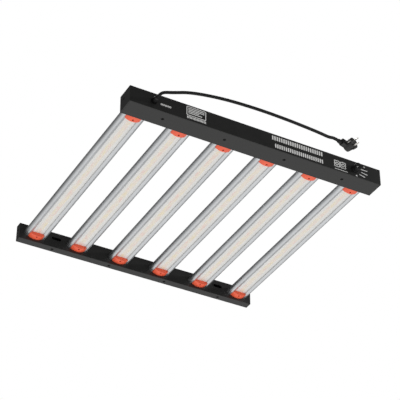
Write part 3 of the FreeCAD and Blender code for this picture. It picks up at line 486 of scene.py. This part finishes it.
def addMarks(s):
    tree = strokeTree()
    middle = railFace + (s["sunk"] - s["proud"]) / 2 * mm
    for k, (x, z, wide, high, step, count) in enumerate(s["strokes"]):
        grownMesh("printedRow" + str(k + 1), tree, {
            "Size": (wide * mm, (s["proud"] + s["sunk"]) * mm, high * mm),
            "Start": ((x + wide / 2) * mm, middle, (z + high / 2) * mm),
            "Step": (step * mm, 0, 0), "Count": count, "Material": ink}, "light")
    bm = bmesh.new()
    corner, line = s["labelCorner"], s["labelLine"]
    frameBlock(bm, s["label"], line, (corner, corner - line), s)
    for x, z, length in s["labelRows"]:
        flatBlock(bm, roundedBox(x, z, x + length, z + s["labelRow"], s["rowCorner"]), railFace, s)
    for box in s["pictures"]:
        frameBlock(bm, box, s["pictureLine"], s["pictureCorners"], s)
        x, z = (box[0] + box[2]) / 2, (box[1] + box[3]) / 2
        outer, inner = s["spot"]
        ringBlock(bm, ringPoints(x, z, outer), ringPoints(x, z, inner), railFace, s)
    for x0, z0, x1, z1 in s["dashes"]:
        flatBlock(bm, slantedDash(x0, z0, x1, z1, s["dash"]), railFace, s)
    flatBlock(bm, ringPoints(*s["dot"]), railFace, s)
    x, z, r = s["arrow"]
    flatBlock(bm, [(x - r, z - r * 0.7), (x + r, z - r * 0.7), (x, z + r)], railFace, s)
    meshPiece("printedSigns", bm, ink, "light")


addMarks(markSettings)

# paint in the knob's groove, lower left when turned fully down
pointerSettings = {
    "center": (354.0, 29.4), "front": 21.5, "depth": 0.6, "from": 3.0, "to": 10.8, "wide": 1.36,
    "coat": {"proud": 0.4, "sunk": 0.02}}


def addPointer(s):
    bm = bmesh.new()
    x, z = s["center"]
    a = math.sqrt(0.5)  # both parts of a 45 degree direction
    points = slantedDash(x - s["from"] * a, z - s["from"] * a, x - s["to"] * a, z - s["to"] * a, s["wide"])
    flatBlock(bm, points, railFace - (s["front"] - s["depth"]) * mm, s["coat"])
    meshPiece("knobPointer", bm, ink, "dimmer")


addPointer(pointerSettings)
print("marks printed")


# a pale floor that is clear from below, and surroundings that are bright below and dim above
studioSettings = {
    "floorSize": 60.0, "floorDrop": 0.0006,  # metres, just under the rails
    "low": 1.08, "high": 0.16, "from": -0.85, "to": 0.3,  # strengths, and the heights between which they fade
    "lamps": [  # name, place, aim, size in metres, power in watts
        ("overhead", (0.6, 1.6, 4.5), (0, 0, 0), 3.0, 220),
        ("sideKey", (3.1, -1.9, 0.8), (0.1, -0.42, 0.02), 0.6, 26)],
}


def addStudio(s):
    scene = bpy.context.scene
    scene.view_settings.view_transform = "Standard"
    mesh = bpy.data.meshes.new("floor")
    half = s["floorSize"] / 2
    mesh.from_pydata([(-half, -half, -s["floorDrop"]), (half, -half, -s["floorDrop"]),
                      (half, half, -s["floorDrop"]), (-half, half, -s["floorDrop"])], [], [(0, 1, 2, 3)])
    floor = bpy.data.objects.new("floor", mesh)
    scene.collection.objects.link(floor)
    material, tree, surface = newMaterial("paleFloor", {"Base Color": hexColor("#f0f0ee"), "Roughness": 0.8})
    side = addNode(tree, "ShaderNodeNewGeometry")
    clear = addNode(tree, "ShaderNodeBsdfTransparent")
    mix = addNode(tree, "ShaderNodeMixShader", links={
        0: side.outputs["Backfacing"], 1: surface.outputs[0], 2: clear.outputs[0]})
    tree.links.new(mix.outputs[0], tree.nodes["Material Output"].inputs["Surface"])
    mesh.materials.append(material)
    floor.visible_shadow = floor.visible_diffuse = floor.visible_glossy = floor.visible_transmission = False

    world = bpy.data.worlds.new("studio")
    scene.world = world
    world.use_nodes = True
    tree = world.node_tree
    tree.nodes.clear()
    coords = addNode(tree, "ShaderNodeTexCoord")
    split = addNode(tree, "ShaderNodeSeparateXYZ", links={0: coords.outputs["Generated"]})
    height = addNode(tree, "ShaderNodeMapRange", {
        "From Min": s["from"], "From Max": s["to"], "To Min": s["low"], "To Max": s["high"]},
        {"Value": split.outputs["Z"]}, interpolation_type="SMOOTHSTEP")
    soft = addNode(tree, "ShaderNodeBackground", {"Color": (1, 1, 1, 1)},
                   {"Strength": height.outputs["Result"]})
    plain = addNode(tree, "ShaderNodeBackground", {"Color": (1, 1, 1, 1), "Strength": 1.0})
    path = addNode(tree, "ShaderNodeLightPath")
    mix = addNode(tree, "ShaderNodeMixShader", links={
        0: path.outputs["Is Camera Ray"], 1: soft.outputs[0], 2: plain.outputs[0]})
    addNode(tree, "ShaderNodeOutputWorld", links={"Surface": mix.outputs[0]})


def addSoftBox(name, place, aim, size, power):
    light = bpy.data.lights.new(name, "AREA")
    light.shape = "DISK"
    light.size = size
    light.energy = power
    lamp = bpy.data.objects.new(name, light)
    bpy.context.scene.collection.objects.link(lamp)
    lamp.location = place
    lamp.rotation_euler = (Vector(aim) - Vector(place)).to_track_quat("-Z", "Y").to_euler()


addStudio(studioSettings)
for lampSettings in studioSettings["lamps"]:
    addSoftBox(*lampSettings)
print("studio lit")
